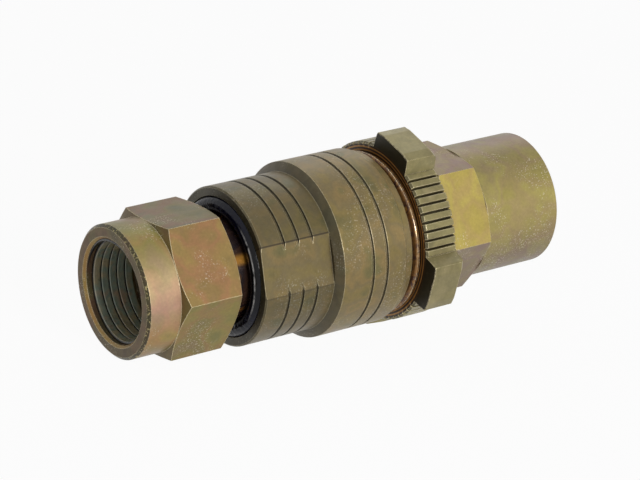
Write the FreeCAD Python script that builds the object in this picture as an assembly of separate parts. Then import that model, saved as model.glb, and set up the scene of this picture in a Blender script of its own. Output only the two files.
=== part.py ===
"""Screw-to-connect hydraulic quick coupler, shown fully screwed together.

Millimetres. X runs along the axis from the female port to the male port, Z is up,
and the origin is on the axis in the female port face.
"""
import FreeCAD, Part
import math
import os
from FreeCAD import Vector

# Port threads and the threads between each adapter and its valve body.
PORT_THREAD_DIAMETER = 20.955
PORT_BEVEL = 0.52
TAIL_THREAD_DIAMETER = 22.0
THREAD_CLEARANCE = 0.05

# Port adapters: a hexagon nut end with an internal pipe thread, one on each half.
ADAPTER_WALL = 2.5
BARREL_PROUD = 0.33
HEX_CHAMFER_ANGLE = 30.0
PASSAGE_LIP = 0.6
ADAPTER_SEAL_CORD = 1.4
FEMALE_BARREL_LENGTH = 6.5
FEMALE_CONE_ANGLE = 45.0
FEMALE_ADAPTER_LENGTH = 20.6
FEMALE_STOP_WALL = 1.5
FEMALE_HEX_TURN = 30.0
MALE_HEX_LENGTH = 9.8
MALE_CONE_ANGLE = 32.0
MALE_ADAPTER_LENGTH = 28.9
MALE_PORT_DEPTH = 14.0
MALE_TAIL_LENGTH = 8.0
MALE_HEX_TURN = 36.6

# Valve cartridges: the same poppet, guide, spring and retaining ring in each half.
TAIL_WALL = 2.2
FLOW_GAP = 1.4
SEAT_CONTACT = 0.9
SEAT_WALL = 1.5
POPPET_HEAD_EDGE = 1.6
POPPET_NOSE_DIAMETER = 4.8
POPPET_NOSE_TAPER_SHARE = 0.6
POPPET_STEM_DIAMETER = 6.0
POPPET_STEM_PROUD = 1.45
POPPET_CLEARANCE = 0.05
GUIDE_RIM_WIDTH = 2.0
GUIDE_SPOKE_WIDTH = 2.4
GUIDE_HUB_WALL = 1.1
GUIDE_HUB_ENGAGEMENT = 2.0
GUIDE_TO_SEAT = 17.2
RETAINING_RING_WIDTH = 1.0
RETAINING_RING_DEPTH = 0.8
RETAINING_RING_GAP_ANGLE = 40.0
TAIL_LIP = 0.8
SPRING_WIRE = 1.3
SPRING_GAP = 0.35
SPRING_TURNS = 4.5
SPRING_WIRE_SIDES = 4
SEAL_WIDTH = 1.0
SEAL_DEPTH = 0.9

# The joint between the halves: the probe slides into the socket as the sleeve turns.
COUPLING_TURNS = 5.5
COUPLING_PITCH = 2.0
PROBE_WALL = 1.7
PROBE_CLEARANCE = 0.07
PROBE_LEAD_IN = 0.8
PROBE_TIP_GAP = 0.2
SOCKET_WALL = 2.8
SOCKET_FLOOR = 1.0
SOCKET_LEAD = 1.9
STOP_GAP = 0.05
PROBE_SEAL_CORD = 1.78
PROBE_SEAL_TO_MOUTH = 1.8
BACKUP_RING_WIDTH = 1.1
CORD_SIDES = 8
POPPETS_MEET_BEHIND_TIP = 1.3

# Sleeve with its ball race, wiper ring and wrench flats.
NECK_LENGTH = 4.4
NECK_CLEARANCE = 0.05
WIPER_CORD = 3.2
WIPER_CLEARANCE = 0.07
WIPER_SET_IN = 0.55
WIPER_SIDES = 16
MOUTH_DEPTH = 2.2
MOUTH_WALL = 1.91
SLEEVE_EDGE_CHAMFER = 0.3
SLEEVE_FLAT_DEPTH = 0.83
SLEEVE_FLAT_ANGLE = 79.0
SLEEVE_SMALL_LENGTH = 16.1
SLEEVE_SHOULDER_LENGTH = 1.2
SMALL_GROOVES_FROM_MOUTH = (5.4, 8.7, 12.0)
BIG_GROOVES_FROM_SHOULDER = (8.1, 11.5)
GROOVE_WIDTH = 0.8
GROOVE_DEPTH = 0.4
RUNNING_CLEARANCE = 0.06
BEARING_STEP = 1.9
BEARING_FROM_MOUTH = 9.5
SLEEVE_GUIDE_LENGTH = 3.5
SLEEVE_RELIEF = 0.9
THREAD_STEP = 1.15
NUT_WALL = 2.68
BAND_STEP = 0.73
BAND_WIDTH = 2.0
BALL_DIAMETER = 2.5
BALL_COUNT = 30
RACE_CLEARANCE = 0.05
PLUG_DIAMETER = 2.8
PLUG_CLEARANCE = 0.04
PLUG_ANGLE = 214.0

# Lobed and knurled lock ring on the male thread.
LOCK_RING_GAP = 2.7
LOCK_RING_BACK_GAP = 1.4
LOCK_RING_WIDTH = 7.4
LOCK_RING_WALL = 3.8
LOBE_COUNT = 4
LOBE_HEIGHT = 2.55
LOBE_WIDTH = 10.6
LOBE_FIRST_ANGLE = 18.9
KNURL_TEETH_PER_GAP = 10
KNURL_DEPTH = 0.65
KNURL_CREST_SHARE = 0.3
LOCK_RING_CHAMFER = 0.5

# Diameters that follow from the walls and steps above.
HEX_ACROSS_FLATS = TAIL_THREAD_DIAMETER + 2 * ADAPTER_WALL
BARREL_DIAMETER = HEX_ACROSS_FLATS + 2 * BARREL_PROUD
NECK_DIAMETER = TAIL_THREAD_DIAMETER - 2 * THREAD_CLEARANCE
CHAMBER_DIAMETER = TAIL_THREAD_DIAMETER - 2 * TAIL_WALL
PASSAGE_DIAMETER = CHAMBER_DIAMETER - 2 * PASSAGE_LIP
POPPET_HEAD_DIAMETER = CHAMBER_DIAMETER - 2 * FLOW_GAP
SEAT_APERTURE_DIAMETER = POPPET_HEAD_DIAMETER - 2 * SEAT_CONTACT
GUIDE_HUB_DIAMETER = POPPET_STEM_DIAMETER + 2 * GUIDE_HUB_WALL
SPRING_MEAN_DIAMETER = GUIDE_HUB_DIAMETER + SPRING_WIRE + 2 * SPRING_GAP
PROBE_DIAMETER = CHAMBER_DIAMETER + 2 * PROBE_WALL
SOCKET_WALL_DIAMETER = PROBE_DIAMETER + 2 * SOCKET_WALL
BEARING_DIAMETER = TAIL_THREAD_DIAMETER + 2 * BEARING_STEP
SLEEVE_RELIEF_DIAMETER = SOCKET_WALL_DIAMETER + 2 * SLEEVE_RELIEF
COUPLING_THREAD_PITCH_DIAMETER = SLEEVE_RELIEF_DIAMETER + 2 * THREAD_STEP
MALE_THREAD_RADIUS = COUPLING_THREAD_PITCH_DIAMETER / 2 - THREAD_CLEARANCE
NUT_THREAD_RADIUS = COUPLING_THREAD_PITCH_DIAMETER / 2 + THREAD_CLEARANCE
WIPER_DIAMETER = NECK_DIAMETER + 2 * NECK_CLEARANCE + 2 * WIPER_CORD
MOUTH_DIAMETER = WIPER_DIAMETER + 2 * WIPER_CLEARANCE
SLEEVE_SMALL_DIAMETER = MOUTH_DIAMETER + 2 * MOUTH_WALL
SLEEVE_FLATS_ACROSS = SLEEVE_SMALL_DIAMETER - 2 * SLEEVE_FLAT_DEPTH
SLEEVE_BIG_DIAMETER = COUPLING_THREAD_PITCH_DIAMETER + 2 * NUT_WALL
SLEEVE_BAND_DIAMETER = SLEEVE_BIG_DIAMETER - 2 * BAND_STEP
LOCK_RING_CREST_DIAMETER = COUPLING_THREAD_PITCH_DIAMETER + 2 * LOCK_RING_WALL
LOBE_TIP_DIAMETER = LOCK_RING_CREST_DIAMETER + 2 * LOBE_HEIGHT

# Stations along the axis, from the female port to the male port.
SCREW_TRAVEL = COUPLING_TURNS * COUPLING_PITCH
POPPET_LIFT = SCREW_TRAVEL / 2
SLEEVE_START = FEMALE_ADAPTER_LENGTH + NECK_LENGTH
SLEEVE_SHOULDER_START = SLEEVE_START + SLEEVE_SMALL_LENGTH
BEARING_END = SLEEVE_START + BEARING_FROM_MOUTH
SOCKET_BOTTOM = BEARING_END + SOCKET_FLOOR
FEMALE_SEAT = SOCKET_BOTTOM - SEAT_WALL
FEMALE_STOP = FEMALE_SEAT - GUIDE_TO_SEAT - GUIDE_RIM_WIDTH - RETAINING_RING_WIDTH - TAIL_LIP
FEMALE_PORT_DEPTH = FEMALE_STOP - FEMALE_STOP_WALL
FEMALE_BODY_END = SOCKET_BOTTOM + SCREW_TRAVEL + SOCKET_LEAD
PROBE_TIP = SOCKET_BOTTOM + PROBE_TIP_GAP
MALE_SEAT = PROBE_TIP + SEAT_WALL + POPPET_CLEARANCE
POPPET_MEETING_PLANE = PROBE_TIP + POPPETS_MEET_BEHIND_TIP
MALE_SHOULDER = FEMALE_BODY_END + STOP_GAP
SLEEVE_END = MALE_SHOULDER + SCREW_TRAVEL + STOP_GAP
SLEEVE_MAIN_END = SLEEVE_END - BAND_WIDTH
LOCK_RING_START = SLEEVE_END + LOCK_RING_GAP
LOCK_RING_END = LOCK_RING_START + LOCK_RING_WIDTH
MALE_ADAPTER_START = LOCK_RING_END + LOCK_RING_BACK_GAP
MALE_END = MALE_ADAPTER_START + MALE_ADAPTER_LENGTH
SMALL_GROOVES = [SLEEVE_START + place for place in SMALL_GROOVES_FROM_MOUTH]
BIG_GROOVES = [SLEEVE_SHOULDER_START + place for place in BIG_GROOVES_FROM_SHOULDER]
RACE_CENTRE_X = (SMALL_GROOVES[0] + SMALL_GROOVES[1]) / 2
RACE_CENTRE_RADIUS = (BEARING_DIAMETER + RUNNING_CLEARANCE) / 2

X_AXIS = Vector(1, 0, 0)
ORIGIN = Vector(0, 0, 0)


def turned(points):
    """Solid of revolution about X from (x, radius) points; every outline is closed."""
    corners = [Vector(x, radius, 0) for x, radius in points]
    outline = Part.makePolygon(corners + [corners[0]])
    return Part.Face(outline).revolve(ORIGIN, X_AXIS, 360)


def rod(start, end, radius):
    return Part.makeCylinder(radius, end - start, Vector(start, 0, 0), X_AXIS)


def round_section(half_width, sides):
    """Corner offsets of a many-sided round section with flat sides along and across."""
    corner = half_width / math.cos(math.pi / sides)
    turns = [2 * math.pi * (side + 0.5) / sides for side in range(sides)]
    return [(corner * math.cos(turn), corner * math.sin(turn)) for turn in turns]


def ring(centre_x, centre_radius, cord_radius, sides=CORD_SIDES):
    """Ring about X with a round section, such as an O-ring or the space of a ball race."""
    return turned([(centre_x + along, centre_radius + across)
                   for along, across in round_section(cord_radius, sides)])


def outward(angle, radius=1.0, x=0.0):
    """Point at an angle from straight up, counted towards the front (-Y)."""
    turn = math.radians(angle)
    return Vector(x, -radius * math.sin(turn), radius * math.cos(turn))


def hexagon(start, end, turn):
    corner_radius = HEX_ACROSS_FLATS / math.sqrt(3)
    corners = [outward(turn + 60 * side, corner_radius, start) for side in range(7)]
    return Part.Face(Part.makePolygon(corners)).extrude(Vector(end - start, 0, 0))


def save(node, shape):
    shape.exportStep("parts/" + node + ".step")


def hexagon_bar(outline, barrel_start, barrel_end, hex_start, hex_end, turn):
    """Turned bar with a round barrel at one end and hexagon flats on the other."""
    barrel = rod(barrel_start, barrel_end, BARREL_DIAMETER / 2)
    flats = hexagon(hex_start, hex_end, turn)
    return turned(outline).common(flats.fuse(barrel)).removeSplitter()


def port_bore(face, direction, depth):
    """Threaded port: a plain bore at the thread's outer diameter with a bevelled mouth."""
    thread = PORT_THREAD_DIAMETER / 2
    return turned([(face, 0), (face, thread + PORT_BEVEL), (face + direction * PORT_BEVEL, thread),
                   (face + direction * depth, thread), (face + direction * depth, 0)])


def adapter_seal_x(face, direction):
    """The seal's groove lies one cord and a half inside the face that meets the neck."""
    return face + direction * 2 * ADAPTER_SEAL_CORD


def adapter_seal(face, direction):
    radius = TAIL_THREAD_DIAMETER / 2 + ADAPTER_SEAL_CORD / 2
    return ring(adapter_seal_x(face, direction), radius, ADAPTER_SEAL_CORD / 2 - THREAD_CLEARANCE / 2)


def adapter_seal_groove(face, direction):
    middle = adapter_seal_x(face, direction)
    half = ADAPTER_SEAL_CORD / 2 + THREAD_CLEARANCE
    outer = TAIL_THREAD_DIAMETER / 2 + ADAPTER_SEAL_CORD
    return rod(middle - half, middle + half, outer)


def female_adapter():
    barrel = BARREL_DIAMETER / 2
    corner = HEX_ACROSS_FLATS / math.sqrt(3)
    cone = (corner - barrel) / math.tan(math.radians(FEMALE_CONE_ANGLE))
    face_radius = HEX_ACROSS_FLATS / 2 + THREAD_CLEARANCE
    chamfer = (corner - face_radius) * math.tan(math.radians(HEX_CHAMFER_ANGLE))
    length = FEMALE_ADAPTER_LENGTH
    outline = [(0, 0), (0, barrel - PORT_BEVEL), (PORT_BEVEL, barrel), (FEMALE_BARREL_LENGTH, barrel),
               (FEMALE_BARREL_LENGTH + cone, corner), (length - chamfer, corner),
               (length, face_radius), (length, 0)]
    body = hexagon_bar(outline, 0, FEMALE_BARREL_LENGTH, FEMALE_BARREL_LENGTH, length, FEMALE_HEX_TURN)
    body = body.cut(port_bore(0, 1, FEMALE_PORT_DEPTH))
    body = body.cut(rod(0, length, PASSAGE_DIAMETER / 2))
    body = body.cut(rod(FEMALE_STOP, length, TAIL_THREAD_DIAMETER / 2))
    return body.cut(adapter_seal_groove(length, -1))


def male_adapter():
    barrel = BARREL_DIAMETER / 2
    corner = HEX_ACROSS_FLATS / math.sqrt(3)
    cone = (corner - barrel) / math.tan(math.radians(MALE_CONE_ANGLE))
    face_radius = HEX_ACROSS_FLATS / 2 + THREAD_CLEARANCE
    chamfer = (corner - face_radius) * math.tan(math.radians(HEX_CHAMFER_ANGLE))
    start = MALE_ADAPTER_START
    hex_end = start + MALE_HEX_LENGTH
    outline = [(start, 0), (start, face_radius), (start + chamfer, corner), (hex_end, corner),
               (hex_end + cone, barrel), (MALE_END - PORT_BEVEL, barrel), (MALE_END, barrel - PORT_BEVEL),
               (MALE_END, 0)]
    body = hexagon_bar(outline, hex_end + cone, MALE_END, start, hex_end + cone, MALE_HEX_TURN)
    body = body.cut(port_bore(MALE_END, -1, MALE_PORT_DEPTH))
    body = body.cut(rod(start, MALE_END, PASSAGE_DIAMETER / 2))
    body = body.cut(rod(start, start + MALE_TAIL_LENGTH, TAIL_THREAD_DIAMETER / 2))
    return body.cut(adapter_seal_groove(start, 1))


def chamber(seat, direction, tail):
    """Bore from the open tail to the seat cone; direction points from seat to tail."""
    aperture = SEAT_APERTURE_DIAMETER / 2
    bore = CHAMBER_DIAMETER / 2
    cone = bore - aperture
    front = seat - direction * (SEAT_WALL + POPPET_CLEARANCE)
    groove = guide_x(seat, direction) + direction * GUIDE_RIM_WIDTH
    groove_end = groove + direction * (RETAINING_RING_WIDTH + POPPET_CLEARANCE)
    groove_radius = bore + RETAINING_RING_DEPTH
    bore_cut = turned([(front, 0), (front, aperture), (seat, aperture),
                       (seat + direction * cone, bore), (tail, bore), (tail, 0)])
    ring_groove = rod(min(groove, groove_end), max(groove, groove_end), groove_radius)
    return bore_cut.fuse(ring_groove)


def guide_x(seat, direction):
    """Place of the guide's face that carries the spring."""
    return seat + direction * GUIDE_TO_SEAT


def valve_guide(seat, direction):
    """Spider that centres the poppet stem: a rim, three spokes and a long hub."""
    face = guide_x(seat, direction)
    back = face + direction * GUIDE_RIM_WIDTH
    tip = back - direction * (POPPET_LIFT + GUIDE_HUB_ENGAGEMENT)
    low, high = min(face, back), max(face, back)
    rim = rod(low, high, CHAMBER_DIAMETER / 2 - POPPET_CLEARANCE)
    rim = rim.cut(rod(low, high, CHAMBER_DIAMETER / 2 - GUIDE_SPOKE_WIDTH / 2))
    hub = rod(min(tip, back), max(tip, back), GUIDE_HUB_DIAMETER / 2)
    spider = rim.fuse(hub)
    reach = CHAMBER_DIAMETER / 2 - GUIDE_SPOKE_WIDTH / 4
    for spoke in range(3):
        bar = Part.makeBox(GUIDE_RIM_WIDTH, GUIDE_SPOKE_WIDTH, reach,
                           Vector(low, -GUIDE_SPOKE_WIDTH / 2, 0))
        bar.rotate(ORIGIN, X_AXIS, 120 * spoke)
        spider = spider.fuse(bar)
    stem_hole = rod(min(tip, back), max(tip, back), POPPET_STEM_DIAMETER / 2 + POPPET_CLEARANCE)
    return spider.cut(stem_hole).removeSplitter()


def retaining_ring(seat, direction):
    """Split ring in its groove behind the guide."""
    near = guide_x(seat, direction) + direction * (GUIDE_RIM_WIDTH + POPPET_CLEARANCE / 2)
    far = near + direction * RETAINING_RING_WIDTH
    low, high = min(near, far), max(near, far)
    outer = CHAMBER_DIAMETER / 2 + RETAINING_RING_DEPTH - POPPET_CLEARANCE
    inner = CHAMBER_DIAMETER / 2 - RETAINING_RING_DEPTH
    band = rod(low, high, outer).cut(rod(low, high, inner))
    half_gap = math.radians(RETAINING_RING_GAP_ANGLE / 2)
    reach = 2 * outer
    wedge = Part.makePolygon([Vector(low, 0, 0),
                              Vector(low, -reach * math.sin(half_gap), -reach * math.cos(half_gap)),
                              Vector(low, reach * math.sin(half_gap), -reach * math.cos(half_gap)),
                              Vector(low, 0, 0)])
    return band.cut(Part.Face(wedge).extrude(Vector(high - low, 0, 0)))


def poppet_outline(seat, direction, nose_tip):
    """Half section of a closed poppet, from the stem end to the nose tip."""
    contact = SEAT_APERTURE_DIAMETER / 2 - POPPET_CLEARANCE
    head = POPPET_HEAD_DIAMETER / 2
    cone = head - contact
    back = cone + POPPET_HEAD_EDGE
    nose = POPPET_NOSE_DIAMETER / 2
    stem = POPPET_STEM_DIAMETER / 2
    stem_end = GUIDE_TO_SEAT + GUIDE_RIM_WIDTH + POPPET_STEM_PROUD - POPPET_LIFT
    tip = direction * (nose_tip - seat)
    taper = tip * POPPET_NOSE_TAPER_SHARE
    bevel = nose / 4
    offsets = [(stem_end, 0), (stem_end, stem - bevel), (stem_end - bevel, stem), (back, stem),
               (back, head), (cone, head), (0, contact), (-SEAT_WALL / 2, contact - SEAT_WALL / 2),
               (taper, nose), (tip + bevel, nose), (tip, nose - bevel), (tip, 0)]
    return [(seat + direction * offset, radius) for offset, radius in offsets]


def seal_outline(seat, direction):
    """Seal set flush in the poppet's seating cone."""
    contact = SEAT_APERTURE_DIAMETER / 2 - POPPET_CLEARANCE
    head = POPPET_HEAD_DIAMETER / 2
    margin = (head - contact - SEAL_WIDTH / math.sqrt(2)) / 2
    low = margin
    high = head - contact - margin
    offsets = [(low, contact + low), (high, contact + high), (high + SEAL_DEPTH, contact + high),
               (high + SEAL_DEPTH, contact + low)]
    return [(seat + direction * offset, radius) for offset, radius in offsets]


def poppet(seat, direction, nose_tip):
    body = turned(poppet_outline(seat, direction, nose_tip))
    return body.cut(turned(seal_outline(seat, direction)))


def opened(shape, direction):
    """Lift a closed poppet off its seat, as it stands with the halves together."""
    shape.translate(Vector(direction * POPPET_LIFT, 0, 0))
    return shape


def spring(seat, direction):
    """Compression spring between the guide and the lifted poppet head."""
    head_back = POPPET_HEAD_DIAMETER / 2 - SEAT_APERTURE_DIAMETER / 2 + POPPET_CLEARANCE
    near = seat + direction * (POPPET_LIFT + head_back + POPPET_HEAD_EDGE + POPPET_CLEARANCE)
    far = guide_x(seat, direction) - direction * POPPET_CLEARANCE
    wire = SPRING_WIRE / 2
    start = min(near, far) + wire
    height = abs(far - near) - SPRING_WIRE
    helix = Part.makeHelix(height / SPRING_TURNS, height, SPRING_MEAN_DIAMETER / 2)
    middle = SPRING_MEAN_DIAMETER / 2
    corners = [Vector(middle + across, 0, along) for across, along in round_section(wire, SPRING_WIRE_SIDES)]
    section = Part.makePolygon(corners + [corners[0]])
    coil = Part.Wire(helix).makePipeShell([section], True, True)
    coil.rotate(ORIGIN, Vector(0, 1, 0), 90)
    coil.translate(Vector(start, 0, 0))
    return coil


def female_valve_body():
    neck = NECK_DIAMETER / 2
    bearing = BEARING_DIAMETER / 2
    wall = SOCKET_WALL_DIAMETER / 2
    step = SLEEVE_START + MOUTH_DEPTH + NECK_CLEARANCE
    body = turned([(FEMALE_STOP, 0), (FEMALE_STOP, neck), (step, neck), (step + PROBE_LEAD_IN, bearing),
                   (BEARING_END, bearing), (BEARING_END, wall), (FEMALE_BODY_END, wall),
                   (FEMALE_BODY_END, 0)])
    body = body.cut(chamber(FEMALE_SEAT, -1, FEMALE_STOP))
    socket = PROBE_DIAMETER / 2 + PROBE_CLEARANCE
    lead = PROBE_LEAD_IN / 2
    body = body.cut(turned([(SOCKET_BOTTOM, 0), (SOCKET_BOTTOM, socket), (FEMALE_BODY_END - lead, socket),
                            (FEMALE_BODY_END, socket + lead), (FEMALE_BODY_END, 0)]))
    body = body.cut(rod(gland_start(), gland_end(), gland_radius()))
    return body.cut(ring(RACE_CENTRE_X, RACE_CENTRE_RADIUS, race_radius()))


def gland_end():
    return FEMALE_BODY_END - PROBE_SEAL_TO_MOUTH


def gland_start():
    return gland_end() - PROBE_SEAL_CORD - BACKUP_RING_WIDTH - 2 * PROBE_CLEARANCE


def gland_radius():
    return PROBE_DIAMETER / 2 + PROBE_SEAL_CORD


def probe_seal():
    middle = gland_start() + BACKUP_RING_WIDTH + PROBE_CLEARANCE + PROBE_SEAL_CORD / 2
    cord = PROBE_SEAL_CORD / 2 - PROBE_CLEARANCE / 2
    return ring(middle, PROBE_DIAMETER / 2 + PROBE_SEAL_CORD / 2, cord)


def probe_backup_ring():
    inner = PROBE_DIAMETER / 2 + PROBE_CLEARANCE / 2
    outer = gland_radius() - PROBE_CLEARANCE / 2
    end = gland_start() + BACKUP_RING_WIDTH
    return rod(gland_start(), end, outer).cut(rod(gland_start(), end, inner))


def race_radius():
    return BALL_DIAMETER / 2 + RACE_CLEARANCE


def male_valve_body():
    probe = PROBE_DIAMETER / 2
    neck = NECK_DIAMETER / 2
    thread = MALE_THREAD_RADIUS
    bevel = PROBE_LEAD_IN
    tail_end = MALE_ADAPTER_START + MALE_TAIL_LENGTH
    body = turned([(PROBE_TIP, 0), (PROBE_TIP, probe - bevel), (PROBE_TIP + bevel, probe),
                   (MALE_SHOULDER, probe), (MALE_SHOULDER, thread - bevel),
                   (MALE_SHOULDER + bevel, thread), (MALE_ADAPTER_START - bevel, thread),
                   (MALE_ADAPTER_START, thread - bevel), (MALE_ADAPTER_START, neck), (tail_end, neck),
                   (tail_end, 0)])
    return body.cut(chamber(MALE_SEAT, 1, tail_end))


def sleeve():
    small = SLEEVE_SMALL_DIAMETER / 2
    big = SLEEVE_BIG_DIAMETER / 2
    band = SLEEVE_BAND_DIAMETER / 2
    edge = SLEEVE_EDGE_CHAMFER
    shoulder_end = SLEEVE_SHOULDER_START + SLEEVE_SHOULDER_LENGTH
    body = turned([(SLEEVE_START, 0), (SLEEVE_START, small - edge), (SLEEVE_START + edge, small),
                   (SLEEVE_SHOULDER_START, small), (shoulder_end, big), (SLEEVE_MAIN_END - edge, big),
                   (SLEEVE_MAIN_END, big - edge), (SLEEVE_MAIN_END, band), (SLEEVE_END - edge, band),
                   (SLEEVE_END, band - edge), (SLEEVE_END, 0)])
    body = body.cut(sleeve_bore())
    body = body.cut(ring(RACE_CENTRE_X, RACE_CENTRE_RADIUS, race_radius()))
    for groove in SMALL_GROOVES:
        body = body.cut(surface_groove(groove, small))
    for groove in BIG_GROOVES:
        body = body.cut(surface_groove(groove, big))
    for side in (0, 180):
        body = body.cut(wrench_flat(SLEEVE_FLAT_ANGLE + side))
    return body.cut(plug_cylinder(PLUG_DIAMETER / 2 + PLUG_CLEARANCE, BEARING_DIAMETER / 2, small + edge))


def sleeve_bore():
    mouth = MOUTH_DIAMETER / 2
    bearing = BEARING_DIAMETER / 2 + RUNNING_CLEARANCE
    guide = SOCKET_WALL_DIAMETER / 2 + RUNNING_CLEARANCE
    relief = SLEEVE_RELIEF_DIAMETER / 2
    thread = NUT_THREAD_RADIUS
    mouth_end = SLEEVE_START + MOUTH_DEPTH
    bearing_end = BEARING_END - STOP_GAP
    guide_end = bearing_end + SLEEVE_GUIDE_LENGTH
    thread_start = FEMALE_BODY_END - PROBE_LEAD_IN / 2
    lead = (SLEEVE_BAND_DIAMETER / 2 - thread) / 3
    return turned([(SLEEVE_START, 0), (SLEEVE_START, mouth), (mouth_end, mouth), (mouth_end, bearing),
                   (bearing_end, bearing), (bearing_end, guide), (guide_end, guide),
                   (guide_end + relief - guide, relief), (thread_start - thread + relief, relief),
                   (thread_start, thread), (SLEEVE_END - lead, thread), (SLEEVE_END, thread + lead),
                   (SLEEVE_END, 0)])


def surface_groove(middle, surface):
    """Narrow turned groove with sloping sides."""
    half = GROOVE_WIDTH / 2
    floor = GROOVE_WIDTH / 4
    bottom = surface - GROOVE_DEPTH
    above = surface + GROOVE_DEPTH
    return turned([(middle - half, surface), (middle - floor, bottom), (middle + floor, bottom),
                   (middle + half, surface), (middle + half, above), (middle - half, above)])


def wrench_flat(angle):
    """Slab outside one milled flat, from the mouth to the shoulder."""
    length = SLEEVE_SHOULDER_START - SLEEVE_START
    depth = SLEEVE_SMALL_DIAMETER
    slab = Part.makeBox(length, depth, depth,
                        Vector(SLEEVE_START, -depth / 2, SLEEVE_FLATS_ACROSS / 2))
    slab.rotate(ORIGIN, X_AXIS, angle)
    return slab


def plug_cylinder(radius, start, end):
    """Radial cylinder over the ball race, on the side away from the front."""
    direction = outward(PLUG_ANGLE)
    base = outward(PLUG_ANGLE, start, RACE_CENTRE_X)
    return Part.makeCylinder(radius, end - start, base, direction)


def ball_plug():
    """Short headless plug that closes the hole the balls are loaded through."""
    outer = SLEEVE_SMALL_DIAMETER / 2
    inner = RACE_CENTRE_RADIUS + race_radius()
    plug = plug_cylinder(PLUG_DIAMETER / 2, inner, outer)
    return plug.common(rod(SLEEVE_START, SLEEVE_SHOULDER_START, outer - GROOVE_DEPTH))


def ball():
    """Ball at the top of the race, rounded by the flats of three eight-sided bars."""
    radius = BALL_DIAMETER / 2
    corners = [Vector(along, across, -radius) for along, across in round_section(radius, CORD_SIDES)]
    bar = Part.Face(Part.makePolygon(corners + [corners[0]])).extrude(Vector(0, 0, BALL_DIAMETER))
    lying = bar.copy()
    lying.rotate(ORIGIN, X_AXIS, 90)
    crossing = bar.copy()
    crossing.rotate(ORIGIN, Vector(0, 1, 0), 90)
    body = bar.common(lying).common(crossing)
    body.translate(outward(0, RACE_CENTRE_RADIUS, RACE_CENTRE_X))
    return body


def sleeve_balls():
    balls = []
    for index in range(BALL_COUNT):
        copy = ball()
        copy.rotate(ORIGIN, X_AXIS, 360 * index / BALL_COUNT)
        balls.append(copy)
    return Part.makeCompound(balls)


def wiper_ring():
    middle_radius = (NECK_DIAMETER + WIPER_CORD) / 2 + NECK_CLEARANCE
    return ring(SLEEVE_START + WIPER_SET_IN, middle_radius, WIPER_CORD / 2, WIPER_SIDES)


def knurl_outline():
    """Corner points of the lobed ring: straight lobe sides, V teeth in the gaps."""
    crest = LOCK_RING_CREST_DIAMETER / 2
    root = crest - KNURL_DEPTH
    half_lobe = math.degrees(math.asin(LOBE_WIDTH / 2 / crest))
    gap = 360 / LOBE_COUNT - 2 * half_lobe
    tooth = gap / KNURL_TEETH_PER_GAP
    flat = tooth * KNURL_CREST_SHARE / 2
    points = []
    for lobe in range(LOBE_COUNT):
        start = LOBE_FIRST_ANGLE + 360 * lobe / LOBE_COUNT + half_lobe
        for index in range(KNURL_TEETH_PER_GAP):
            middle = start + (index + 0.5) * tooth
            points.append((middle - tooth / 2, root))
            points.append((middle - flat, crest))
            points.append((middle + flat, crest))
        points.append((start + gap, root))
    return [outward(angle, radius, LOCK_RING_START) for angle, radius in points]


def lock_ring():
    teeth = knurl_outline()
    ring_blank = Part.Face(Part.makePolygon(teeth + [teeth[0]]))
    ring_blank = ring_blank.extrude(Vector(LOCK_RING_WIDTH, 0, 0))
    tip = LOBE_TIP_DIAMETER / 2
    for lobe in range(LOBE_COUNT):
        block = Part.makeBox(LOCK_RING_WIDTH, LOBE_WIDTH, tip,
                             Vector(LOCK_RING_START, -LOBE_WIDTH / 2, 0))
        block.rotate(ORIGIN, X_AXIS, LOBE_FIRST_ANGLE + 360 * lobe / LOBE_COUNT)
        ring_blank = ring_blank.fuse(block)
    edge = LOCK_RING_CHAMFER
    turned_blank = turned([(LOCK_RING_START, 0), (LOCK_RING_START, tip - edge),
                           (LOCK_RING_START + edge, tip), (LOCK_RING_END - edge, tip),
                           (LOCK_RING_END, tip - edge), (LOCK_RING_END, 0)])
    body = ring_blank.common(turned_blank)
    bore = NUT_THREAD_RADIUS
    body = body.cut(turned([(LOCK_RING_START, 0), (LOCK_RING_START, bore + edge),
                            (LOCK_RING_START + edge, bore), (LOCK_RING_END - edge, bore),
                            (LOCK_RING_END, bore + edge), (LOCK_RING_END, 0)]))
    return body.removeSplitter()


def main():
    os.makedirs("parts", exist_ok=True)
    female_nose = POPPET_MEETING_PLANE - STOP_GAP / 2 + POPPET_LIFT
    male_nose = POPPET_MEETING_PLANE + STOP_GAP / 2 - POPPET_LIFT
    save("female_adapter", female_adapter())
    save("female_adapter_seal", adapter_seal(FEMALE_ADAPTER_LENGTH, -1))
    save("female_valve_body", female_valve_body())
    save("female_valve_guide", valve_guide(FEMALE_SEAT, -1))
    save("female_guide_ring", retaining_ring(FEMALE_SEAT, -1))
    save("female_spring", spring(FEMALE_SEAT, -1))
    save("female_poppet", opened(poppet(FEMALE_SEAT, -1, female_nose), -1))
    save("female_poppet_seal", opened(turned(seal_outline(FEMALE_SEAT, -1)), -1))
    save("probe_seal", probe_seal())
    save("probe_backup_ring", probe_backup_ring())
    save("sleeve", sleeve())
    save("sleeve_balls", sleeve_balls())
    save("ball_plug", ball_plug())
    save("wiper_ring", wiper_ring())
    save("male_valve_body", male_valve_body())
    save("male_adapter", male_adapter())
    save("male_adapter_seal", adapter_seal(MALE_ADAPTER_START, 1))
    save("male_valve_guide", valve_guide(MALE_SEAT, 1))
    save("male_guide_ring", retaining_ring(MALE_SEAT, 1))
    save("male_spring", spring(MALE_SEAT, 1))
    save("male_poppet", opened(poppet(MALE_SEAT, 1, male_nose), 1))
    save("male_poppet_seal", opened(turned(seal_outline(MALE_SEAT, 1)), 1))
    save("lock_ring", lock_ring())


main()
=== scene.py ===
import math

import bmesh
import bpy
from mathutils import Matrix, Vector


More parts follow.
